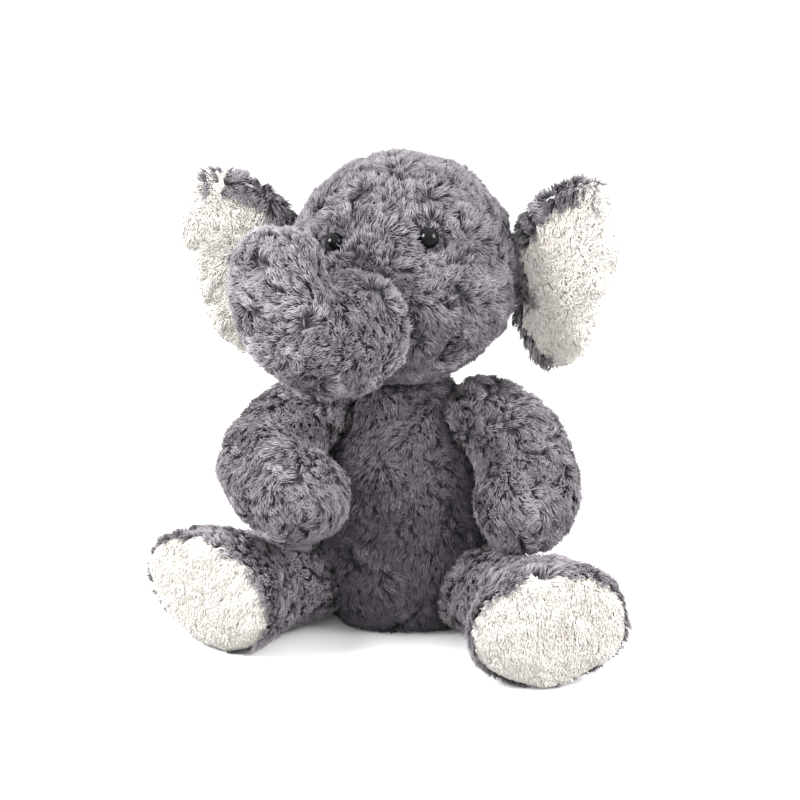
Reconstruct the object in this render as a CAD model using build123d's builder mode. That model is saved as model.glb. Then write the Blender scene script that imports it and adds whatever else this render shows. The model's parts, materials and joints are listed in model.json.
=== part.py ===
from build123d import *
import os
from math import cos, radians, sin

os.makedirs("parts", exist_ok=True)

# Sitting plush elephant.  +Z is up, the toy faces -Y and its own left side is +X.
# The origin is on the floor under the middle of the seat.

# ---- fabric -------------------------------------------------------------------------
skin = 2.5             # plush backing with the packed roots of its pile
fill_gap = 0.5         # between a skin and the stuffing inside it
socket_gap = 1.5       # between a sewn-on root and the hollow it sits in
thread_radius = 0.5

# ---- body ---------------------------------------------------------------------------
body_y = 2.0
body_height = 152.0
seat_radius = 50.0
belly_radius, belly_height = 66.0, 42.0
waist_radius, waist_height = 58.0, 78.0
chest_radius, chest_height = 44.0, 112.0
collar_radius, collar_height = 31.0, 139.0
seat_tangent, crown_tangent = (1, 0.9), (-1, 0)

# ---- head ---------------------------------------------------------------------------
head_centre = Vector(0, -8, 223)
head_tilt = 5.0        # the face leans a little toward the toy's right shoulder
head_radius = 66.0
gusset_half_width = 19.0

neck_pivot = Vector(0, -4, 154.5)
neck_ring_radius = 20.0

# ---- eyes: 12 mm safety eyes ---------------------------------------------------------
eye_radius = 6.0
eye_direction = Vector(0.41, -0.80, 0.41)
eye_seat = 0.4         # the flat of the eye stands this far off the head
shank_radius, shank_length = 2.0, 14.0
washer_radius, washer_thickness = 7.5, 1.6
washer_depth = 4.5     # from the flat of the eye to the washer
shank_hole_gap, washer_hole_gap = 0.2, 0.1

# ---- trunk --------------------------------------------------------------------------
trunk_direction = Vector(-0.20, -0.93, -0.24).normalized()
trunk_root_reach = 69.0
trunk_pivot = head_centre + trunk_direction * trunk_root_reach
trunk_elbow = Vector(-35.5, -113.5, 207.5)
trunk_tip = Vector(-52, -110, 238.5)
trunk_sections = [(0.0, 28.5), (0.35, 27.5), (0.7, 26.0), (1.0, 23.0)]

# ---- ears ---------------------------------------------------------------------------
ear_root_reach, ear_root_back = 69.5, 5.0
ear_thickness = 13.0
ear_turn = 10.0        # the ears face a little inward
ear_cup_radius = 105.0
cup_depth, ear_reach_up = 45.0, 80.0
ear_outline = [(2, 2), (-1, 26), (13, 44), (34, 56), (54, 57), (63, 38),
               (62, 6), (54, -26), (37, -52), (22, -58), (9, -44), (0, -22)]
ear_middle = (30, -5)

# ---- arms and legs -------------------------------------------------------------------
shoulder = Vector(51.5, -6, 129)
shoulder_directions = {"left": Vector(0.93, -0.20, -0.30), "right": Vector(-0.90, -0.33, -0.30)}
paw_centres = {"left": Vector(82, -43, 88), "right": Vector(-50.5, -82, 98.5)}
arm_sections = [(0.0, 24.0), (0.5, 27.0), (1.0, 27.5)]

hip_angle, hip_distance, hip_height = 52.0, 66.5, 29.0
sole_centres = {"left": Vector(107, -118, 39.8), "right": Vector(-104, -104, 41)}
sole_leans = {"left": 19.0, "right": 24.0}      # the soles lean over, toward the floor
foot_rolls = {"left": 1.0, "right": 6.0}
leg_sections = [(0.0, 24.0, 24.0), (0.3, 26.5, 26.0), (0.7, 38.5, 34.0),
                (0.92, 44.0, 35.5), (1.0, 42.5, 34.0)]

# ---- tail ---------------------------------------------------------------------------
tail_root = Vector(0, 69.5, 46)
tail_tip = Vector(0, 92, 18)
tail_sections = [(0.0, 8.0), (0.5, 6.5), (1.0, 5.5)]

# ---- pellet pouch, closing stitches and label -----------------------------------------
pouch_radius, pouch_height, pouch_floor, pouch_wall = 36.0, 22.0, 8.0, 1.2
pouch_edge_radius, fill_edge_radius = 8.0, 7.0
stitch_count, stitch_length, stitch_lift = 9, 6.0, 1.4
stitches_from, stitches_to = 0.45, 0.95     # along the middle line of the back
back_top_tangent = (0, -0.4, 1)
label_width, label_length, label_thickness, label_height = 18.0, 15.0, 0.6, 6.0
label_angle, label_inner_radius = 28.0, 56.0

sides = {"left": 1, "right": -1}


def on_side(point, sign):
    """A point given for the toy's left side, moved to the wanted side."""
    return Vector(point.X * sign, point.Y, point.Z)


# ---- reference frames and curves ------------------------------------------------------
tilt = radians(head_tilt)
head_frame = Plane(origin=head_centre, x_dir=(cos(tilt), 0, sin(tilt)), z_dir=(-sin(tilt), 0, cos(tilt)))

shoulders = {side: on_side(shoulder, sign) for side, sign in sides.items()}
hip_out = radians(hip_angle)
hip = Vector(hip_distance * sin(hip_out), body_y - hip_distance * cos(hip_out), hip_height)
hips = {side: on_side(hip, sign) for side, sign in sides.items()}

trunk_path = ThreePointArc(trunk_pivot, trunk_elbow, trunk_tip)
tail_path = TangentArc(tail_root, tail_tip, tangent=(0, 1, 0))
arm_paths = {
    side: TangentArc(shoulders[side], paw_centres[side], tangent=shoulder_directions[side])
    for side in sides
}
leg_paths = {
    side: TangentArc(hips[side], sole_centres[side], tangent=(sign * sin(hip_out), -cos(hip_out), 0))
    for side, sign in sides.items()
}


def bend_normal(path):
    """The normal of the flat plane an arc lies in, pointing up or to the toy's left."""
    across = (path % 0).cross((path @ 1) - (path @ 0)).normalized()
    return across if across.Z + across.X > 0 else across * -1


def section_plane(path, t):
    """The plane square to an arc, its X axis in the plane of the bend."""
    return Plane(origin=path @ t, x_dir=bend_normal(path).cross(path % t), z_dir=path % t)


def leg_plane(side, t):
    """A section plane of a leg, its X axis level, which leans more and more toward the sole."""
    path = leg_paths[side]
    square = Plane(origin=path @ t, x_dir=Vector(0, 0, 1).cross(path % t), z_dir=path % t)
    return square.rotated((sole_leans[side] * t * t, 0, 0))


# ---- closed forms, each drawn at a chosen inset from its outer surface -----------------
def tube_form(path, sections, inset):
    """A round stuffed tube along an arc, with a domed root and a domed tip."""
    with BuildPart() as form:
        for t, radius in sections:
            with BuildSketch(section_plane(path, t)):
                Circle(radius - inset)
        loft()
        with Locations(section_plane(path, 0)):
            Sphere(sections[0][1] - inset, arc_size1=-90, arc_size2=0, align=None)
        with Locations(section_plane(path, 1)):
            Sphere(sections[-1][1] - inset, arc_size1=0, arc_size2=90, align=None)
    return form.part


def leg_form(side, inset):
    """A leg that widens to a flat oval sole, with a domed root."""
    with BuildPart() as form:
        for t, across, upright in leg_sections:
            with BuildSketch(leg_plane(side, t).offset(-inset * t)):
                Ellipse(across - inset, upright - inset, rotation=t * foot_rolls[side])
        loft()
        with Locations(leg_plane(side, 0)):
            Sphere(leg_sections[0][1] - inset, arc_size1=-90, arc_size2=0, align=None)
    return form.part


def body_form(inset):
    """The pear-shaped body, hollowed where the arms, the legs and the tail are sewn on."""
    hollows = [(point, arm_sections[0][1]) for point in shoulders.values()]
    hollows += [(point, leg_sections[0][1]) for point in hips.values()]
    hollows.append((tail_root, tail_sections[0][1]))
    with BuildPart() as form:
        with BuildSketch(Plane.XZ.offset(-body_y)):
            with BuildLine():
                Spline(
                    (seat_radius - inset, inset),
                    (belly_radius - inset, belly_height),
                    (waist_radius - inset, waist_height),
                    (chest_radius - inset, chest_height),
                    (collar_radius - inset, collar_height),
                    (0, body_height - inset),
                    tangents=[seat_tangent, crown_tangent],
                )
                Polyline((0, body_height - inset), (0, inset), (seat_radius - inset, inset))
            make_face()
        revolve(axis=Axis((0, body_y, 0), (0, 0, 1)))
        for point, radius in hollows:
            with Locations(point):
                Sphere(radius + socket_gap + inset, mode=Mode.SUBTRACT)
    return form.part


def head_form(inset):
    """The round head, hollowed where the trunk is sewn on; the seam of each sphere faces away."""
    hollow_axis = trunk_direction.cross(Vector(0, 0, 1))
    with BuildPart() as form:
        with Locations(Plane(origin=head_centre, x_dir=(0, 1, 0), z_dir=head_frame.x_dir)):
            Sphere(head_radius - inset)
        with Locations(Plane(origin=trunk_pivot, x_dir=trunk_direction, z_dir=hollow_axis)):
            Sphere(trunk_sections[0][1] + socket_gap + inset, mode=Mode.SUBTRACT)
    return form.part


def ear_planes(side):
    """The plane of an ear's outline, and the level plane of the cup it is curved to."""
    sign = sides[side]
    turn = radians(ear_turn)
    root = head_centre + Vector(sign * ear_root_reach, ear_root_back, 0)
    forward = Vector(-sign * sin(turn), -cos(turn), 0)
    outline = Plane(origin=root, x_dir=(sign * cos(turn), -sin(turn), 0), z_dir=forward * sign)
    cup = Plane(origin=root + forward * ear_cup_radius, z_dir=(0, 0, 1))
    return outline.offset(-cup_depth), cup.offset(-ear_reach_up)


def ear_form(side, inset):
    """A padded ear, its outline curved to a shallow cup that opens forward."""
    outline_plane, cup_plane = ear_planes(side)
    middle = Vector(*ear_middle)
    corners = [Vector(*point) for point in ear_outline]
    corners = [corner + (middle - corner).normalized() * inset for corner in corners]
    with BuildPart() as form:
        with BuildSketch(outline_plane):
            with BuildLine():
                Spline(corners, periodic=True)
            make_face()
        extrude(amount=2 * cup_depth)
        with BuildSketch(cup_plane):
            Circle(ear_cup_radius + ear_thickness / 2 - inset)
            Circle(ear_cup_radius - ear_thickness / 2 + inset, mode=Mode.SUBTRACT)
        extrude(amount=ear_reach_up * 2, mode=Mode.INTERSECT)
    return form.part


def cup_core(side):
    """The round block inside the middle surface of an ear."""
    with BuildPart() as core:
        with BuildSketch(ear_planes(side)[1]):
            Circle(ear_cup_radius)
        extrude(amount=ear_reach_up * 2)
    return core.part


def save(builder, name):
    """Label a finished piece and write it out."""
    builder.part.label = name
    export_step(builder.part, f"parts/{name}.step")


fill_inset = skin + fill_gap

# ---- body: front, two back panels, seat panel, stuffing ---------------------------------
body_outer = body_form(0)
body_inner = body_form(skin)
seat_seam = Plane.XY.offset(skin)
side_seam = Plane.XZ.offset(-body_y)

with BuildPart() as body_front:
    add(body_outer)
    split(bisect_by=seat_seam, keep=Keep.TOP)
    split(bisect_by=side_seam, keep=Keep.TOP)
    add(body_inner, mode=Mode.SUBTRACT)
save(body_front, "body_front")

for side, keep in (("left", Keep.TOP), ("right", Keep.BOTTOM)):
    with BuildPart() as body_back:
        add(body_outer)
        split(bisect_by=seat_seam, keep=Keep.TOP)
        split(bisect_by=side_seam, keep=Keep.BOTTOM)
        split(bisect_by=Plane.YZ, keep=keep)
        add(body_inner, mode=Mode.SUBTRACT)
    save(body_back, f"body_back_{side}")

with BuildPart() as body_seat:
    add(body_outer)
    split(bisect_by=seat_seam, keep=Keep.BOTTOM)
    add(body_inner, mode=Mode.SUBTRACT)
save(body_seat, "body_seat")

pouch_top = pouch_floor + pouch_height
with BuildPart() as body_stuffing:
    add(body_form(fill_inset))
    with BuildSketch(Plane.XY.offset(pouch_floor - fill_gap)):
        with Locations((0, body_y)):
            Circle(pouch_radius + fill_gap)
    extrude(amount=pouch_height + 2 * fill_gap, mode=Mode.SUBTRACT)
save(body_stuffing, "body_stuffing")

with BuildPart() as pellet_pouch:
    with BuildSketch(Plane.XY.offset(pouch_floor)):
        with Locations((0, body_y)):
            Circle(pouch_radius)
    extrude(amount=pouch_height)
    fillet(pellet_pouch.edges(), pouch_edge_radius)
    offset(amount=-pouch_wall, mode=Mode.SUBTRACT)
save(pellet_pouch, "pellet_pouch")

with BuildPart() as pellet_fill:
    with BuildSketch(Plane.XY.offset(pouch_floor + pouch_wall + fill_gap)):
        with Locations((0, body_y)):
            Circle(pouch_radius - pouch_wall - fill_gap)
    extrude(amount=pouch_height - 2 * (pouch_wall + fill_gap))
    fillet(pellet_fill.edges(), fill_edge_radius)
save(pellet_fill, "pellet_fill")

# ---- closing stitches up the middle of the back, and the sewn-in label -------------------
back_curve = Spline(
    (0, body_y + belly_radius, belly_height),
    (0, body_y + waist_radius, waist_height),
    (0, body_y + chest_radius, chest_height),
    tangents=[(0, 0, 1), back_top_tangent],
)
with BuildPart() as back_stitching:
    for index in range(stitch_count):
        share = index / (stitch_count - 1)
        point = back_curve @ (stitches_from + (stitches_to - stitches_from) * share)
        start = point + Vector(-stitch_length / 2, stitch_lift, 0)
        with BuildSketch(Plane(origin=start, z_dir=(1, 0, 0))):
            Circle(thread_radius)
        extrude(amount=stitch_length)
save(back_stitching, "back_stitching")

label_out = Vector(-sin(radians(label_angle)), cos(radians(label_angle)), 0)
label_origin = Vector(0, body_y, label_height) + label_out * (label_inner_radius + label_length / 2)
with BuildPart() as sewn_label:
    with BuildSketch(Plane(origin=label_origin, x_dir=label_out, z_dir=(0, 0, 1))):
        Rectangle(label_length, label_width)
    extrude(amount=label_thickness)
save(sewn_label, "sewn_label")

# ---- neck thread ------------------------------------------------------------------------
with BuildPart() as neck_thread:
    with BuildSketch(Plane(origin=neck_pivot + Vector(neck_ring_radius, 0, 0), z_dir=(0, 1, 0))):
        Circle(thread_radius)
    revolve(axis=Axis(neck_pivot, (0, 0, 1)))
save(neck_thread, "neck_thread")

# ---- head: two sides, centre gusset, stuffing, eyes ---------------------------------------
head_outer = head_form(0)
head_inner = head_form(skin)
seam_planes = {
    side: Plane(origin=head_frame.from_local_coords((sign * gusset_half_width, 0, 0)),
                z_dir=head_frame.x_dir * sign)
    for side, sign in sides.items()
}
eye_frames = {}
for side, sign in sides.items():
    direction = head_frame.from_local_coords(on_side(eye_direction, sign)) - head_centre
    direction = direction.normalized()
    eye_frames[side] = Plane(origin=head_centre + direction * (head_radius + eye_seat), z_dir=direction)

for side in sides:
    with BuildPart() as head_side:
        add(head_outer)
        with BuildSketch(seam_planes[side]):
            Rectangle(3 * head_radius, 3 * head_radius)
        extrude(amount=head_radius, mode=Mode.INTERSECT)
        add(head_inner, mode=Mode.SUBTRACT)
        with BuildSketch(eye_frames[side]):
            Circle(shank_radius + shank_hole_gap)
        extrude(amount=-shank_length, mode=Mode.SUBTRACT)
    save(head_side, f"head_side_{side}")

    with BuildPart() as eye:
        with Locations(eye_frames[side]):
            Sphere(eye_radius, arc_size1=0, arc_size2=90, align=None)
        with BuildSketch(eye_frames[side]):
            Circle(shank_radius)
        extrude(amount=-shank_length)
    save(eye, f"eye_{side}")

    with BuildPart() as eye_washer:
        with BuildSketch(eye_frames[side].offset(-washer_depth)):
            Circle(washer_radius)
            Circle(shank_radius + washer_hole_gap, mode=Mode.SUBTRACT)
        extrude(amount=-washer_thickness)
    save(eye_washer, f"eye_washer_{side}")

with BuildPart() as head_gusset:
    add(head_outer)
    with BuildSketch(head_frame.offset(-head_radius)):
        Rectangle(2 * gusset_half_width, 3 * head_radius)
    extrude(amount=2 * head_radius, mode=Mode.INTERSECT)
    add(head_inner, mode=Mode.SUBTRACT)
save(head_gusset, "head_gusset")

with BuildPart() as head_stuffing:
    add(head_form(fill_inset))
    for side in sides:
        with BuildSketch(eye_frames[side]):
            Circle(shank_radius + fill_gap)
        extrude(amount=-shank_length - fill_gap, mode=Mode.SUBTRACT)
        with BuildSketch(eye_frames[side]):
            Circle(washer_radius + fill_gap)
        extrude(amount=-washer_depth - washer_thickness - fill_gap, mode=Mode.SUBTRACT)
save(head_stuffing, "head_stuffing")

# ---- trunk, arms and tail: an upper and an under panel around stuffing ---------------------
tubes = {
    "trunk": ("", trunk_path, trunk_sections),
    "arm_left": ("_left", arm_paths["left"], arm_sections),
    "arm_right": ("_right", arm_paths["right"], arm_sections),
    "tail": ("", tail_path, tail_sections),
}
for limb, (suffix, path, sections) in tubes.items():
    stem = limb.removesuffix(suffix)
    outer = tube_form(path, sections, 0)
    inner = tube_form(path, sections, skin)
    bend_plane = Plane(origin=path @ 0, x_dir=path % 0, z_dir=bend_normal(path))
    for panel, keep in (("upper", Keep.TOP), ("under", Keep.BOTTOM)):
        with BuildPart() as tube_panel:
            add(outer)
            add(inner, mode=Mode.SUBTRACT)
            split(bisect_by=bend_plane, keep=keep)
        save(tube_panel, f"{stem}_{panel}{suffix}")
    with BuildPart() as tube_stuffing:
        add(tube_form(path, sections, fill_inset))
    save(tube_stuffing, f"{stem}_stuffing{suffix}")

# ---- legs: an upper and an under panel, a flat sole, stuffing --------------------------------
for side in sides:
    path = leg_paths[side]
    outer = leg_form(side, 0)
    inner = leg_form(side, skin)
    bend_plane = Plane(origin=path @ 0, x_dir=path % 0, z_dir=bend_normal(path))
    sole_seam = leg_plane(side, 1).offset(-skin)
    for panel, keep in (("upper", Keep.TOP), ("under", Keep.BOTTOM)):
        with BuildPart() as leg_panel:
            add(outer)
            add(inner, mode=Mode.SUBTRACT)
            split(bisect_by=sole_seam, keep=Keep.BOTTOM)
            split(bisect_by=bend_plane, keep=keep)
        save(leg_panel, f"leg_{panel}_{side}")
    with BuildPart() as leg_sole:
        add(outer)
        add(inner, mode=Mode.SUBTRACT)
        split(bisect_by=sole_seam, keep=Keep.TOP)
    save(leg_sole, f"leg_sole_{side}")
    with BuildPart() as leg_stuffing:
        add(leg_form(side, fill_inset))
    save(leg_stuffing, f"leg_stuffing_{side}")

# ---- ears: a grey back, a pale lining, thin padding between ------------------------------------
for side in sides:
    outer = ear_form(side, 0)
    inner = ear_form(side, skin)
    core = cup_core(side)
    with BuildPart() as ear_back:
        add(outer)
        add(inner, mode=Mode.SUBTRACT)
        add(core, mode=Mode.SUBTRACT)
    save(ear_back, f"ear_back_{side}")
    with BuildPart() as ear_lining:
        add(outer)
        add(core, mode=Mode.INTERSECT)
        add(inner, mode=Mode.SUBTRACT)
    save(ear_lining, f"ear_lining_{side}")
    with BuildPart() as ear_padding:
        add(ear_form(side, fill_inset))
    save(ear_padding, f"ear_padding_{side}")
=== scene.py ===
import json
import math

import bmesh
import bpy
import numpy as np
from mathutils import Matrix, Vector, noise
from mathutils.bvhtree import BVHTree


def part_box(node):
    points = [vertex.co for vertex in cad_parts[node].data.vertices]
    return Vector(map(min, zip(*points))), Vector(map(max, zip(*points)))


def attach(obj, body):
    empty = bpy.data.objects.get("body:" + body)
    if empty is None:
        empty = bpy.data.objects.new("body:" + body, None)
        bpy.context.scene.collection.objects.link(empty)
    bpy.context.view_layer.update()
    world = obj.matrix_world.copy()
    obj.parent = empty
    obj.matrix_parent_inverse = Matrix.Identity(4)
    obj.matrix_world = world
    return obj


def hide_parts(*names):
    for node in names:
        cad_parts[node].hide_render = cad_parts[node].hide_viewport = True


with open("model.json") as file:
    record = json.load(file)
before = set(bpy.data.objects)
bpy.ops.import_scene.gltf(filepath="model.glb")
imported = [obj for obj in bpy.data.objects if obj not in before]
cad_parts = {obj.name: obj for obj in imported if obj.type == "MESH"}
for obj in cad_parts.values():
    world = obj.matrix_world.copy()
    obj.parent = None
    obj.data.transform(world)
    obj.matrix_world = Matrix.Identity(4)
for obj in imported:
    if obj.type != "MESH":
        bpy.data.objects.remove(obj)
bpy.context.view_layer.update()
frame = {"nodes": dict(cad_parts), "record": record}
record = frame["record"]

MM = 0.001
SEED = 416
noise.seed_set(SEED)     # without this the vector noise differs from run to run
SIDES = {"left": 1, "right": -1}
bodies = record["behaviour"]["bodies"]
pivots = {joint["child"]: Vector(joint["pos_m"]) for joint in record["behaviour"]["joints"]}

# A pile: how long, wide and dense its locks are, and how they gather into tufts.
GREY_PILE = dict(length=8.5 * MM, width=0.28 * MM, per_mm2=1.5, tuft=4.4 * MM, lean=0.80,
                 gather=0.42, swirl=1.25, wave=0.65 * MM)
SEAT_PILE = dict(GREY_PILE, length=4.5 * MM, per_mm2=0.5, lean=0.95)
IVORY_PILE = dict(length=4.8 * MM, width=0.32 * MM, per_mm2=2.6, tuft=4.5 * MM, lean=0.86,
                  gather=0.12, swirl=0.7, wave=0.4 * MM)
PAINTED_SHADE_TONES = {"torso": -0.95, "head": -0.30}     # painted shade: the torso's pile is coloured much darker and the head's a little darker, for the shade these parts lie in
STRAY = 0.3         # the share of locks that lie loose between the tufts
BURIED = 4 * MM     # no pile grows where a form lies this deep inside another
LOCKS_PER_PIECE = 16000
FLOOR_GAP = 0.3 * MM
CLOTH_GROWTH = 2.5 * MM     # from a stuffing solid to the outer face of its skin
EAR_CLOTH_GROWTH, TAIL_CLOTH_GROWTH, HEAD_CLOTH_GROWTH = 2.0 * MM, 1.5 * MM, 3.0 * MM
CHEEK_FULLNESS, CHEEK_LEVEL, CHEEK_SPREAD = 2.5 * MM, -0.35, 0.30
LUMP_DEPTH, LUMP_SIZE = 2.2 * MM, 26 * MM
SWIRL_SIZE, PATCH_SIZE = 15 * MM, 11 * MM    # how wide the swirls and the light patches are
ROOT_DEPTH = 0.5 * MM       # a lock starts this far inside the cloth
SOLE_BAND = 12 * MM         # the ivory of a sole reaches this far back from its tip
RIM_WIDTH, INNER_RIM_WIDTH = 9 * MM, 4 * MM
EYE_BARE, EYE_FULL = 6 * MM, 13 * MM         # the pile grows from short to full length between these
EYE_PRESS_NEAR, EYE_PRESS_FAR = 7 * MM, 15 * MM
PRESSED_SHARE, PRESS_REACH = 0.45, 12 * MM   # how short pressed pile is, and how far a part presses
SEARCH_REACH = 20 * MM


def random_for(name):
    """A seeded random source of its own for each named piece."""
    return np.random.default_rng([SEED, *name.encode()])


def middle(node):
    """The centre of a CAD node's box."""
    low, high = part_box(node)
    return (low + high) / 2


def unit(vectors):
    """Rows scaled to length one."""
    length = np.linalg.norm(vectors, axis=-1, keepdims=True)
    return vectors / np.maximum(length, 1e-12)


def smooth_step(value, low, high):
    """0 below low, 1 above high, and a smooth ramp between."""
    t = np.clip((value - low) / (high - low), 0, 1)
    return t * t * (3 - 2 * t)


# ---- base forms: the stuffed cloth under the pile -------------------------------------

def new_object(name, mesh):
    """A linked object with a mesh."""
    obj = bpy.data.objects.new(name, mesh)
    bpy.context.scene.collection.objects.link(obj)
    return obj


def points_of(mesh):
    """A mesh's points as rows."""
    co = np.empty(len(mesh.vertices) * 3, np.float32)
    mesh.vertices.foreach_get("co", co)
    return co.reshape(-1, 3).astype(float)


def set_points(mesh, co):
    """Moves a mesh's points."""
    mesh.vertices.foreach_set("co", co.astype(np.float32).ravel())
    mesh.update()


def normals_of(mesh):
    """A mesh's smooth point normals as rows."""
    normal = np.empty(len(mesh.vertices) * 3, np.float32)
    mesh.vertex_normals.foreach_get("vector", normal)
    return normal.reshape(-1, 3).astype(float)


def triangles_of(mesh):
    """A mesh's triangles as rows of point numbers."""
    mesh.calc_loop_triangles()
    tri = np.empty(len(mesh.loop_triangles) * 3, np.int32)
    mesh.loop_triangles.foreach_get("vertices", tri)
    return tri.reshape(-1, 3)


def surface_tree(mesh):
    """A search tree of a mesh's faces, which finds the nearest place on its surface."""
    return BVHTree.FromPolygons([v.co[:] for v in mesh.vertices], [p.vertices[:] for p in mesh.polygons])


def baked(obj):
    """Applies an object's modifiers to its mesh."""
    depsgraph = bpy.context.evaluated_depsgraph_get()
    mesh = bpy.data.meshes.new_from_object(obj.evaluated_get(depsgraph))
    obj.modifiers.clear()
    obj.data = mesh
    return obj


def outer_shell(mesh):
    """Keeps the largest connected part of a mesh, which drops any inner hollow."""
    work = bmesh.new()
    work.from_mesh(mesh)
    bmesh.ops.remove_doubles(work, verts=work.verts, dist=0.05 * MM)
    left = set(work.verts)
    islands = []
    while left:
        stack = [left.pop()]
        island = set(stack)
        while stack:
            for edge in stack.pop().link_edges:
                for vert in edge.verts:
                    if vert in left:
                        left.discard(vert)
                        island.add(vert)
                        stack.append(vert)
        islands.append(island)
    biggest = max(islands, key=lambda island: max(v.co.length for v in island) * len(island))
    bmesh.ops.delete(work, geom=[v for v in work.verts if v not in biggest], context="VERTS")
    work.to_mesh(mesh)
    work.free()


def remeshed(obj, voxel):
    """Gives an object even faces of about the voxel's size."""
    modifier = obj.modifiers.new("even", "REMESH")
    modifier.mode = "VOXEL"
    modifier.voxel_size = voxel
    modifier.use_smooth_shade = True
    return baked(obj)


def relaxed(obj, rounds):
    """Smooths a form."""
    modifier = obj.modifiers.new("relax", "SMOOTH")
    modifier.iterations = rounds
    modifier.factor = 0.5
    return baked(obj)


def stuffed_form(name, node, grow, voxel=4 * MM):
    """The cloth over one stuffing solid, evenly meshed, smoothed and grown to the skin's outer face."""
    mesh = frame["nodes"][node].data.copy()
    mesh.materials.clear()
    outer_shell(mesh)
    form = relaxed(remeshed(new_object(name, mesh), voxel), 4)
    set_points(form.data, points_of(form.data) + normals_of(form.data) * grow)
    return form


def head_form():
    """The head's cloth: a ball with fuller cheeks."""
    low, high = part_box("head_stuffing")
    centre = np.array((low + high) / 2)
    centre[1] = np.array(high)[1] - (high.x - low.x) / 2
    radius = (high.x - low.x) / 2 + HEAD_CLOTH_GROWTH
    mesh = bpy.data.meshes.new("head_cloth")
    work = bmesh.new()
    bmesh.ops.create_icosphere(work, subdivisions=5, radius=radius)
    work.to_mesh(mesh)
    work.free()
    co = points_of(mesh)
    out = unit(co)
    cheek = np.exp(-((out[:, 2] - CHEEK_LEVEL) / CHEEK_SPREAD) ** 2) * np.abs(out[:, 0]) ** 2
    co += out * (cheek * CHEEK_FULLNESS)[:, None]
    set_points(mesh, co + centre)
    return new_object("head_cloth", mesh)


def inflate(forms, pressure=4.0, frames=18, cap=2.5 * MM):
    """Cloth simulation: air pressure puffs each form between its pinned seams."""
    scene = bpy.context.scene
    rest = {}
    for form, pinned in forms:
        rest[form.name] = points_of(form.data)
        group = form.vertex_groups.new(name="seam")
        for index in np.flatnonzero(pinned):
            group.add([int(index)], 1.0, "REPLACE")
        cloth = form.modifiers.new("cloth", "CLOTH")
        cloth.settings.quality = 4
        cloth.settings.mass = 0.2
        cloth.settings.use_pressure = True
        cloth.settings.uniform_pressure_force = pressure
        cloth.settings.vertex_group_mass = "seam"
        cloth.settings.effector_weights.gravity = 0
        cloth.point_cache.frame_start = 1
        cloth.point_cache.frame_end = frames
    for number in range(1, frames + 1):
        scene.frame_set(number)
    for form, _ in forms:
        baked(form)
        form.vertex_groups.clear()
        start = rest[form.name]
        moved = points_of(form.data) - start
        length = np.linalg.norm(moved, axis=1, keepdims=True)
        moved *= np.minimum(1, cap / np.maximum(length, 1e-9))
        set_points(form.data, start + moved)
    scene.frame_set(1)


def lumpy(form, depth, scale):
    """Soft hollows and lumps of hand-pushed stuffing; nothing sinks into the floor."""
    co = points_of(form.data)
    lumps = np.array([noise.noise(Vector(point) / scale) for point in co])
    co += normals_of(form.data) * (lumps * depth)[:, None]
    co[:, 2] = np.maximum(co[:, 2], FLOOR_GAP)
    set_points(form.data, co)


# ---- pile -----------------------------------------------------------------------------

def nearest_node(points, nodes):
    """For each point, the number of the CAD node whose surface is nearest."""
    distance = []
    for node in nodes:
        mesh = frame["nodes"][node].data
        tree = surface_tree(mesh)
        distance.append([tree.find_nearest(Vector(point))[3] for point in points])
    return np.argmin(np.array(distance), axis=0)


def spread(points, gap):
    """The numbers of points that keep at least a gap between them, taken in order."""
    kept = []
    for index, point in enumerate(points):
        if not kept or np.min(np.sum((points[kept] - point) ** 2, axis=1)) > gap * gap:
            kept.append(index)
    return np.array(kept)


def paint(form, second):
    """Gives a form's second material to the faces whose triangles are chosen."""
    form.data.calc_loop_triangles()
    owner = np.empty(len(form.data.loop_triangles), np.int32)
    form.data.loop_triangles.foreach_get("polygon_index", owner)
    index = np.zeros(len(form.data.polygons), np.int32)
    index[owner[second]] = 1
    form.data.polygons.foreach_set("material_index", index)


class Surface:
    """Triangles of a form that carry pile."""

    def __init__(self, form, chosen):
        self.co = points_of(form.data)
        self.normal = normals_of(form.data)
        self.tri = triangles_of(form.data)[chosen]
        a, b, c = (self.co[self.tri[:, k]] for k in range(3))
        self.area = np.linalg.norm(np.cross(b - a, c - a), axis=1) / 2

    def sample(self, count, source):
        """Random points on the triangles, with their smooth normals."""
        pick = source.choice(len(self.tri), count, p=self.area / self.area.sum())
        r1 = np.sqrt(source.random(count))
        r2 = source.random(count)
        weight = np.stack([1 - r1, r1 * (1 - r2), r1 * r2], axis=1)[:, :, None]
        place = (self.co[self.tri[pick]] * weight).sum(axis=1)
        normal = unit((self.normal[self.tri[pick]] * weight).sum(axis=1))
        return place, normal


def swirl_field(points, scale):
    """A smooth random vector at each point."""
    return np.array([noise.noise_vector(Vector(point) / scale) for point in points])


# A lock: where its root, two rings and tip lie along it, how wide the rings are, and the map
# height of each of its eight points, which sets how light the point is: the root takes the painted shade
# of the deep pile.
STEPS = np.array([0.0, 0.36, 0.72, 1.0])
HALF_WIDTHS = np.array([1.0, 0.80])
MAP_HEIGHTS = np.array([0.02, 0.36, 0.36, 0.36, 0.72, 0.72, 0.72, 0.98])


def lock_faces(count):
    """The triangles of closed spindles: a root point, two rings of three points, a tip point."""
    faces = [(0, 1 + (k + 1) % 3, 1 + k) for k in range(3)]
    for k in range(3):
        n = (k + 1) % 3
        faces += [(1 + k, 1 + n, 4 + n), (1 + k, 4 + n, 4 + k)]
    faces += [(4 + k, 4 + (k + 1) % 3, 7) for k in range(3)]
    return (np.array(faces)[None] + 8 * np.arange(count)[:, None, None]).reshape(-1, 3)


def nearest_tuft(root, tuft):
    """For each root, the number of the nearest tuft centre."""
    owner = np.empty(len(root), int)
    for start in range(0, len(root), 2000):
        block = root[start:start + 2000]
        distance = np.sum((block[:, None] - tuft[None]) ** 2, axis=2)
        owner[start:start + 2000] = np.argmin(distance, axis=1)
    return owner


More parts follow.
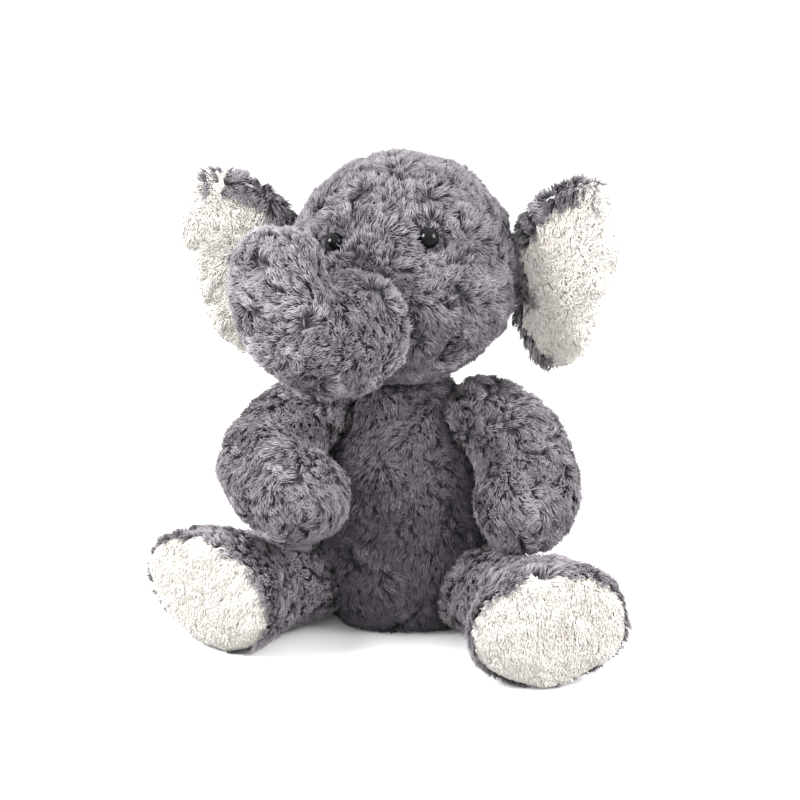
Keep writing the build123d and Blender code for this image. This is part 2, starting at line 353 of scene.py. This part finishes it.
def along_surface(vectors, normal):
    """Vectors laid flat on a surface and scaled to length one."""
    return unit(vectors - normal * np.sum(vectors * normal, axis=-1, keepdims=True))


def grow_pile(body, surface, pile, comb, tone, source):
    """Points and map positions of curved locks, gathered into leaning tufts; one row for each lock."""
    area = surface.area.sum()
    count = int(area / MM ** 2 * pile["per_mm2"])
    root, normal = surface.sample(count, source)
    order = np.argsort(root[:, 2])
    root, normal = root[order], normal[order]

    candidates, candidate_normal = surface.sample(int(7 * area / pile["tuft"] ** 2), source)
    kept = spread(candidates, 0.8 * pile["tuft"])
    tuft, tuft_normal = candidates[kept], candidate_normal[kept]
    wanted = comb(tuft) + swirl_field(tuft, SWIRL_SIZE) * pile["swirl"]
    wanted += source.normal(0, 0.12, tuft.shape)
    tuft_comb = along_surface(wanted, tuft_normal)
    patch = np.array([noise.noise(Vector(point) / PATCH_SIZE) for point in tuft])
    tuft_share = pile_share(body, tuft)
    tuft_length = pile["length"] * tuft_share * (0.98 + 0.35 * patch)
    tuft_lean = np.clip(source.normal(pile["lean"], 0.08, len(tuft)), 0.4, 1.0)
    tuft_tone = 0.5 + 0.5 * patch + source.normal(0, 0.15, len(tuft))
    # painted shade: the body's shade tone is added, and the tone is lowered where the pile is pressed
    # short by another part or beside the eyes, for the shade in those creases
    tuft_tone += tone - 0.4 * (1 - tuft_share)

    owner = nearest_tuft(root, tuft)
    shown = tuft_share[owner] > 0
    root, normal, owner = root[shown], normal[shown], owner[shown]
    count = len(root)
    leader_length = tuft_length[owner]
    length = leader_length * source.uniform(0.72, 1.12, count)
    lean = np.clip(tuft_lean[owner] + source.normal(0, 0.06, count), 0.3, 1.0)
    upright = np.sqrt(np.maximum(1 - lean ** 2, 0.0))
    stray = source.random(count) < STRAY
    turn = source.normal(0, 1, (count, 3)) * np.where(stray, 0.45, 0.2)[:, None]
    flow = along_surface(tuft_comb[owner] + turn, normal)
    side = np.cross(normal, flow)
    phase = source.uniform(0, 2 * math.pi, count)
    gather = np.where(stray, 0.0, pile["gather"] * source.uniform(0.4, 1.4, count))
    width = pile["width"] * source.uniform(0.75, 1.25, count)

    spots = []
    for s in STEPS:
        rise = s * (1.3 - 0.5 * s) * (upright * 0.75 + 0.28)
        reach = s * lean * (0.55 + 0.45 * s)
        spot = root + normal * (rise * length)[:, None] + flow * (reach * length)[:, None]
        leader = tuft[owner] + tuft_normal[owner] * (rise * leader_length)[:, None]
        leader = leader + tuft_comb[owner] * (reach * leader_length)[:, None]
        spot = spot + (leader - spot) * (gather * s ** 1.3)[:, None]
        spots.append(spot + side * (pile["wave"] * np.sin(phase + 5.5 * s) * s)[:, None])
    spots = np.stack(spots, axis=1)
    spots[:, 0] -= normal * ROOT_DEPTH

    along = unit(spots[:, 2:] - spots[:, :-2])
    across = unit(np.cross(along, normal[:, None]))
    lift = np.cross(across, along)
    half = width[:, None, None] * HALF_WIDTHS[None, :, None]
    ring = np.stack([spots[:, 1:3] - across * half, spots[:, 1:3] + across * half,
                     spots[:, 1:3] + lift * half * 0.9], axis=2)
    points = np.concatenate([spots[:, :1], ring.reshape(count, 6, 3), spots[:, 3:]], axis=1)
    points[:, :, 2] = np.maximum(points[:, :, 2], FLOOR_GAP)

    tone = np.clip(0.65 * tuft_tone[owner] + 0.35 * source.random(count), 0, 1) * 0.96 + 0.02
    tones = np.repeat(tone[:, None], len(MAP_HEIGHTS), axis=1)
    uv = np.stack([tones, np.repeat(MAP_HEIGHTS[None], count, axis=0)], axis=2)
    return points, uv


def solid_mesh(name, points, triangles, uv):
    """A smooth triangle mesh with one UV layer."""
    mesh = bpy.data.meshes.new(name)
    mesh.vertices.add(len(points))
    mesh.vertices.foreach_set("co", points.astype(np.float32).ravel())
    mesh.loops.add(triangles.size)
    mesh.loops.foreach_set("vertex_index", triangles.astype(np.int32).ravel())
    mesh.polygons.add(len(triangles))
    mesh.polygons.foreach_set("loop_start", np.arange(0, triangles.size, 3, dtype=np.int32))
    mesh.polygons.foreach_set("use_smooth", np.ones(len(triangles), bool))
    layer = mesh.uv_layers.new(name="OFBake")
    layer.data.foreach_set("uv", uv[triangles.ravel()].astype(np.float32).ravel())
    mesh.update()
    mesh.validate()
    return new_object(name, mesh)


# ---- materials --------------------------------------------------------------------------

class Nodes:
    """A short way to build one material's node tree."""

    def __init__(self, name):
        self.material = bpy.data.materials.new(name)
        self.material.use_nodes = True
        self.tree = self.material.node_tree
        self.shader = self.tree.nodes["Principled BSDF"]

    def add(self, kind, **settings):
        node = self.tree.nodes.new(kind)
        for key, value in settings.items():
            if key in node.inputs:
                node.inputs[key].default_value = value
            else:
                setattr(node, key, value)
        return node

    def link(self, source, target):
        self.tree.links.new(source, target)

    def ramp(self, stops):
        node = self.add("ShaderNodeValToRGB")
        elements = node.color_ramp.elements
        while len(elements) < len(stops):
            elements.new(0.5)
        for element, (place, colour) in zip(elements, stops):
            element.position = place
            element.color = (*colour, 1)
        return node


def pile_material(name, dark, tip, cool, warm, sheen):
    """Locks that are darker at the root, as painted shade of the deep pile, and light at the tip; each
    has a random tone of its own, lowered on the chest, the head and in creases as painted shade.
    """
    nodes = Nodes(name)
    uv = nodes.add("ShaderNodeUVMap", uv_map="OFBake")
    split = nodes.add("ShaderNodeSeparateXYZ")
    nodes.link(uv.outputs["UV"], split.inputs[0])
    mid = tuple(d * 0.70 + t * 0.30 for d, t in zip(dark, tip))
    # painted shade: the root colour stands for the shade deep in the pile; the tip is the fur's own
    # light colour
    rise = nodes.ramp([(0.0, dark), (0.5, mid), (1.0, tip)])
    nodes.link(split.outputs["Y"], rise.inputs[0])
    # a low tone darkens a lock: its random tone, and painted shade where the tone was lowered
    tint = nodes.ramp([(0.0, cool), (0.5, (1, 1, 1)), (1.0, warm)])
    nodes.link(split.outputs["X"], tint.inputs[0])
    mixed = nodes.add("ShaderNodeMixRGB", blend_type="MULTIPLY", Fac=1.0)
    nodes.link(rise.outputs[0], mixed.inputs[1])
    nodes.link(tint.outputs[0], mixed.inputs[2])
    nodes.link(mixed.outputs[0], nodes.shader.inputs["Base Color"])
    nodes.shader.inputs["Roughness"].default_value = 0.62
    nodes.shader.inputs["Specular IOR Level"].default_value = 0.25
    nodes.shader.inputs["Sheen Weight"].default_value = sheen
    nodes.shader.inputs["Sheen Roughness"].default_value = 0.45
    nodes.shader.inputs["Sheen Tint"].default_value = (*tip, 1)
    return nodes.material


def cloth_material(name, low, high, scale, bump, roughness=0.9):
    """A woven or felted surface with uneven colour."""
    nodes = Nodes(name)
    place = nodes.add("ShaderNodeTexCoord")
    patches = nodes.add("ShaderNodeTexNoise", Scale=scale, Detail=6.0)
    nodes.link(place.outputs["Object"], patches.inputs["Vector"])
    colour = nodes.ramp([(0.3, low), (0.7, high)])
    nodes.link(patches.outputs[0], colour.inputs[0])
    nodes.link(colour.outputs[0], nodes.shader.inputs["Base Color"])
    fibres = nodes.add("ShaderNodeTexNoise", Scale=scale * 9, Detail=4.0)
    nodes.link(place.outputs["Object"], fibres.inputs["Vector"])
    relief = nodes.add("ShaderNodeBump", Strength=bump, Distance=0.4 * MM)
    nodes.link(fibres.outputs[0], relief.inputs["Height"])
    nodes.link(relief.outputs[0], nodes.shader.inputs["Normal"])
    nodes.shader.inputs["Roughness"].default_value = roughness
    return nodes.material


def eye_material():
    """Polished black plastic with a faint uneven gloss."""
    nodes = Nodes("eye_black")
    place = nodes.add("ShaderNodeTexCoord")
    haze = nodes.add("ShaderNodeTexNoise", Scale=260.0, Detail=3.0)
    nodes.link(place.outputs["Object"], haze.inputs["Vector"])
    gloss = nodes.add("ShaderNodeMapRange")
    gloss.inputs["To Min"].default_value = 0.08
    gloss.inputs["To Max"].default_value = 0.16
    nodes.link(haze.outputs[0], gloss.inputs["Value"])
    nodes.link(gloss.outputs[0], nodes.shader.inputs["Roughness"])
    nodes.shader.inputs["Base Color"].default_value = (0.003, 0.003, 0.004, 1)
    nodes.shader.inputs["Specular IOR Level"].default_value = 0.22
    return nodes.material


# painted shade: the grey pile's near-black root colour stands for the shade deep in the pile
grey_pile = pile_material("grey_pile", dark=(0.030, 0.027, 0.031), tip=(0.46, 0.425, 0.463),
                          cool=(0.42, 0.41, 0.45), warm=(1.32, 1.29, 1.28), sheen=0.25)
ivory_pile = pile_material("ivory_pile", dark=(0.90, 0.86, 0.80), tip=(0.95, 0.93, 0.89),
                           cool=(0.93, 0.90, 0.87), warm=(1.0, 0.99, 0.97), sheen=0.28)
# painted shade: the cloth under the grey pile is near-black like the lock roots, for the shade deep in
# the pile
grey_cloth = cloth_material("grey_cloth", (0.05, 0.046, 0.053), (0.10, 0.093, 0.105), 90, 0.5)
ivory_cloth = cloth_material("ivory_cloth", (0.90, 0.86, 0.80), (0.95, 0.92, 0.87), 90, 0.5)
fibre = cloth_material("fibre_fill", (0.78, 0.78, 0.78), (0.92, 0.92, 0.92), 60, 0.8)
plain_weave = cloth_material("pouch_cloth", (0.62, 0.61, 0.58), (0.74, 0.73, 0.70), 300, 0.4)
bead_plastic = cloth_material("pellets", (0.68, 0.68, 0.66), (0.80, 0.80, 0.78), 400, 0.9, 0.5)
washer_plastic = cloth_material("clear_plastic", (0.70, 0.70, 0.70), (0.80, 0.80, 0.80), 200, 0.1, 0.4)
sewing_thread = cloth_material("thread", (0.10, 0.09, 0.105), (0.22, 0.20, 0.23), 900, 0.8)
ribbon = cloth_material("label_cloth", (0.82, 0.82, 0.80), (0.90, 0.90, 0.88), 500, 0.3, 0.6)
eye_black = eye_material()

SLOT_MATERIALS = {
    "fibre_fill": fibre, "eye_black": eye_black, "clear_plastic": washer_plastic,
    "thread": sewing_thread, "label_cloth": ribbon, "pouch_cloth": plain_weave, "pellets": bead_plastic,
}
for part in record["subparts"]:
    if part["material_slot"] in SLOT_MATERIALS:
        node = frame["nodes"][part["node"]]
        node.data.materials.clear()
        node.data.materials.append(SLOT_MATERIALS[part["material_slot"]])


# ---- the plush parts ------------------------------------------------------------------------

def face_axis(node, away):
    """The normal of a CAD node's largest face, turned away from a point."""
    mesh = frame["nodes"][node].data
    face = max(mesh.polygons, key=lambda polygon: polygon.area)
    sign = 1 if (face.center - away).dot(face.normal) > 0 else -1
    return np.array(face.normal) * sign


def panel_split(form, body):
    """For each triangle of a form, the number of the panel it belongs to."""
    co = points_of(form.data)
    tri = triangles_of(form.data)
    centre = co[tri].mean(axis=1)
    normal = unit(normals_of(form.data)[tri].mean(axis=1))
    names = panels[body]
    if body.startswith("leg"):
        axis = face_axis(names[2], pivots[body])
        which = nearest_node(centre, names[:2])
        height = centre @ axis
        which[(normal @ axis > 0.30) & (height > height.max() - SOLE_BAND)] = 2
        return which
    if body.startswith("ear"):
        outer_edge = SIDES[body.removeprefix("ear_")] * normal[:, 0] > 0.5
        return (normal[:, 1] < np.where(outer_edge, 0.65, 0.25)).astype(int)
    return nearest_node(centre, names)


def seam_points(form, which):
    """The points of a form where two panels meet."""
    tri = triangles_of(form.data)
    low = np.full(len(form.data.vertices), 99)
    high = np.full(len(form.data.vertices), -1)
    for corner in range(3):
        np.minimum.at(low, tri[:, corner], which)
        np.maximum.at(high, tri[:, corner], which)
    return low != high


def toward(direction, strength=0.6):
    """A comb that pushes the pile one way."""
    push = np.array(direction, float) * strength
    return lambda points: np.repeat(push[None], len(points), axis=0)


def away_from(centre, strength=0.6):
    """A comb that pushes the pile away from a point."""
    middle_point = np.array(centre)
    return lambda points: unit(points - middle_point) * strength


eyes = [np.array(middle(f"eye_{side}")) for side in SIDES]


def eye_clearing(points):
    """The pile is short beside the eyes, so that they show."""
    nearest = np.min([np.linalg.norm(points - eye, axis=1) for eye in eyes], axis=0)
    return 0.35 + 0.65 * smooth_step(nearest, EYE_BARE, EYE_FULL)


def face_comb(points):
    """The head's pile runs away from the trunk, and is pressed away from the eyes."""
    wanted = away_from(pivots["trunk"] + Vector((0, 0, 0.02)), 0.5)(points)
    for eye in eyes:
        out = points - eye
        near = 1 - smooth_step(np.linalg.norm(out, axis=1), EYE_PRESS_NEAR, EYE_PRESS_FAR)
        wanted = wanted + unit(out) * (2.5 * near)[:, None]
    return wanted


def gap_to_others(body, points):
    """How far each point lies outside every other form; negative inside one."""
    gap = np.full(len(points), 1.0)
    for other, tree in trees.items():
        if other == body:
            continue
        for index, point in enumerate(points):
            near, normal, _, distance = tree.find_nearest(Vector(point), SEARCH_REACH)
            if near is not None:
                inside = (Vector(point) - near).dot(normal) < 0
                gap[index] = min(gap[index], -distance if inside else distance)
    return gap


def pile_share(body, points):
    """A length share: shorter where another part presses and beside the eyes, none where buried."""
    gap = gap_to_others(body, points)
    share = PRESSED_SHARE + (1 - PRESSED_SHARE) * smooth_step(gap, 0, PRESS_REACH)
    if body == "head":
        share *= eye_clearing(points)
    return np.where(gap < -BURIED, 0.0, share)


def ear_rim(form, side):
    """The triangles of an ear's face that turn grey: a band on the top and on the edge by the head."""
    sign = SIDES[side]
    co = points_of(form.data)
    normal = normals_of(form.data)
    low, high = co.min(axis=0), co.max(axis=0)
    edge = np.abs(normal[:, 1]) < 0.45
    upward = normal[:, 2]
    inward = -sign * normal[:, 0]
    band = np.where((upward > 0.25) & (inward > 0.05), RIM_WIDTH, 0.0)
    band = np.where((upward <= 0.25) & (inward > 0.45), INNER_RIM_WIDTH, band)
    centre = co[triangles_of(form.data)].mean(axis=1)
    flat = co[edge][:, [0, 2]]
    owner = nearest_tuft(centre[:, [0, 2]], flat)
    distance = np.linalg.norm(centre[:, [0, 2]] - flat[owner], axis=1)
    return distance < band[edge][owner]


forms = {
    "torso": stuffed_form("torso_cloth", "body_stuffing", CLOTH_GROWTH),
    "head": head_form(),
    "trunk": stuffed_form("trunk_cloth", "trunk_stuffing", CLOTH_GROWTH),
    "tail": stuffed_form("tail_cloth", "tail_stuffing", TAIL_CLOTH_GROWTH, 2 * MM),
}
panels = {
    "torso": ["body_front", "body_back_left", "body_back_right", "body_seat"],
    "head": ["head_side_left", "head_side_right", "head_gusset"],
    "trunk": ["trunk_upper", "trunk_under"],
    "tail": ["tail_upper", "tail_under"],
}
for side in SIDES:
    forms[f"arm_{side}"] = stuffed_form(f"arm_cloth_{side}", f"arm_stuffing_{side}", CLOTH_GROWTH)
    forms[f"leg_{side}"] = stuffed_form(f"leg_cloth_{side}", f"leg_stuffing_{side}", CLOTH_GROWTH)
    padding = f"ear_padding_{side}"
    forms[f"ear_{side}"] = stuffed_form(f"ear_cloth_{side}", padding, EAR_CLOTH_GROWTH, 3.5 * MM)
    panels[f"arm_{side}"] = [f"arm_upper_{side}", f"arm_under_{side}"]
    panels[f"leg_{side}"] = [f"leg_upper_{side}", f"leg_under_{side}", f"leg_sole_{side}"]
    panels[f"ear_{side}"] = [f"ear_back_{side}", f"ear_lining_{side}"]

splits = {body: panel_split(form, body) for body, form in forms.items()}
inflate([(form, seam_points(form, splits[body])) for body, form in forms.items()])
for form in forms.values():
    lumpy(form, LUMP_DEPTH, LUMP_SIZE)

combs = {
    "torso": toward((0, -0.1, -1)),
    "head": face_comb,
    "trunk": away_from(pivots["trunk"], 0.7),
    "tail": toward((0, 0.3, -1), 1.2),
    "sole": toward((0, 0, -1), 0.9),
}
for side, sign in SIDES.items():
    combs[f"arm_{side}"] = away_from(pivots[f"arm_{side}"], 0.7)
    combs[f"leg_{side}"] = away_from(pivots[f"leg_{side}"], 0.7)
    combs[f"ear_{side}"] = toward((sign * 0.6, 0, -0.5), 0.6)


def add_pile(body, panel, label, form, chosen, pile, ivory):
    """Grows the pile of one panel, or of a part of it, in pieces that ride its body."""
    source = random_for(label)
    comb = combs["sole"] if panel.startswith("leg_sole") else combs[body]
    # painted shade: the torso and head piles take a lower tone for the shade they lie in
    tone = PAINTED_SHADE_TONES.get(body, 0.0)
    points, uv = grow_pile(body, Surface(form, chosen), pile, comb, tone, source)
    pieces = math.ceil(len(points) / LOCKS_PER_PIECE)
    for piece, rows in enumerate(np.array_split(np.arange(len(points)), pieces), start=1):
        name = f"{label}_{piece}" if pieces > 1 else label
        faces = lock_faces(len(rows))
        locks = solid_mesh(name, points[rows].reshape(-1, 3), faces, uv[rows].reshape(-1, 2))
        locks.data.materials.append(ivory_pile if ivory else grey_pile)
        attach(locks, body)
        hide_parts(panel)


trees = {body: surface_tree(form.data) for body, form in forms.items()}

for body, form in forms.items():
    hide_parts(*panels[body])
    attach(form, body)
    ivory_area = np.zeros(len(splits[body]), bool)
    for number, panel in enumerate(panels[body]):
        chosen = splits[body] == number
        if panel.startswith("ear_lining"):
            rim = ear_rim(form, body.removeprefix("ear_"))
            add_pile(body, panel, f"{panel}_rim_pile", form, chosen & rim, GREY_PILE, ivory=False)
            chosen = chosen & ~rim
        ivory = panel.startswith(("leg_sole", "ear_lining"))
        if ivory:
            ivory_area |= chosen
        pile = IVORY_PILE if ivory else SEAT_PILE if panel == "body_seat" else GREY_PILE
        add_pile(body, panel, f"{panel}_pile", form, chosen, pile, ivory)
    form.data.materials.append(grey_cloth)
    form.data.materials.append(ivory_cloth)
    paint(form, ivory_area)


# ---- stage, light and camera ------------------------------------------------------------------

def area_light(name, place, aim, size, power):
    """A soft square light that faces a point."""
    light = bpy.data.lights.new(name, "AREA")
    light.size = size
    light.energy = power
    obj = bpy.data.objects.new(name, light)
    obj.location = place
    obj.rotation_euler = (Vector(aim) - Vector(place)).to_track_quat("-Z", "Y").to_euler()
    bpy.context.scene.collection.objects.link(obj)


floor_mesh = bpy.data.meshes.new("floor")
work = bmesh.new()
bmesh.ops.create_grid(work, x_segments=2, y_segments=2, size=6.0)
work.to_mesh(floor_mesh)
work.free()
floor = new_object("floor", floor_mesh)
floor_material = bpy.data.materials.new("floor")
floor_material.use_nodes = True
floor_tree = floor_material.node_tree
floor_shader = floor_tree.nodes["Principled BSDF"]
floor_shader.inputs["Roughness"].default_value = 0.9
seen = floor_tree.nodes.new("ShaderNodeLightPath")
tone = floor_tree.nodes.new("ShaderNodeMixRGB")
tone.inputs[1].default_value = (0.35, 0.35, 0.35, 1)
tone.inputs[2].default_value = (0.97, 0.97, 0.97, 1)
floor_tree.links.new(seen.outputs["Is Camera Ray"], tone.inputs[0])
floor_tree.links.new(tone.outputs[0], floor_shader.inputs["Base Color"])
floor.data.materials.append(floor_material)

world = bpy.data.worlds.new("studio")
world.use_nodes = True
world_tree = world.node_tree
sky_place = world_tree.nodes.new("ShaderNodeTexCoord")
sky_split = world_tree.nodes.new("ShaderNodeSeparateXYZ")
sky_ramp = world_tree.nodes.new("ShaderNodeValToRGB")
sky_ramp.color_ramp.elements[0].color = (0.50, 0.50, 0.50, 1)
sky_ramp.color_ramp.elements[1].color = (1, 1, 1, 1)
world_tree.links.new(sky_place.outputs["Generated"], sky_split.inputs[0])
world_tree.links.new(sky_split.outputs["Z"], sky_ramp.inputs[0])
sky_tone = world_tree.nodes.new("ShaderNodeMixRGB")
sky_seen = world_tree.nodes.new("ShaderNodeLightPath")
sky_tone.inputs[2].default_value = (1, 1, 1, 1)
world_tree.links.new(sky_seen.outputs["Is Camera Ray"], sky_tone.inputs[0])
world_tree.links.new(sky_ramp.outputs[0], sky_tone.inputs[1])
world_tree.links.new(sky_tone.outputs[0], world_tree.nodes["Background"].inputs["Color"])
world_tree.nodes["Background"].inputs["Strength"].default_value = 1.6
bpy.context.scene.world = world

aim = Vector((0, 0, 0.14))
area_light("key", (-1.2, -0.70, 1.0), aim, 0.7, 50)
area_light("fill", (1.4, -0.30, 0.9), aim, 0.9, 40)

VIEW_TURN, VIEW_RISE, VIEW_DISTANCE = math.radians(10.5), math.radians(17), 1.05
LENS, SENSOR_WIDTH = 75, 36
target = Vector((-0.003, 0, 0.136))
camera_data = bpy.data.cameras.new("camera")
camera_data.lens = LENS
camera_data.sensor_width = SENSOR_WIDTH
camera = bpy.data.objects.new("camera", camera_data)
level = math.cos(VIEW_RISE)
camera.location = target + VIEW_DISTANCE * Vector(
    (math.sin(VIEW_TURN) * level, -math.cos(VIEW_TURN) * level, math.sin(VIEW_RISE)))
camera.rotation_euler = (target - camera.location).to_track_quat("-Z", "Y").to_euler()
bpy.context.scene.collection.objects.link(camera)
bpy.context.scene.camera = camera
bpy.context.scene.view_settings.view_transform = "Standard"
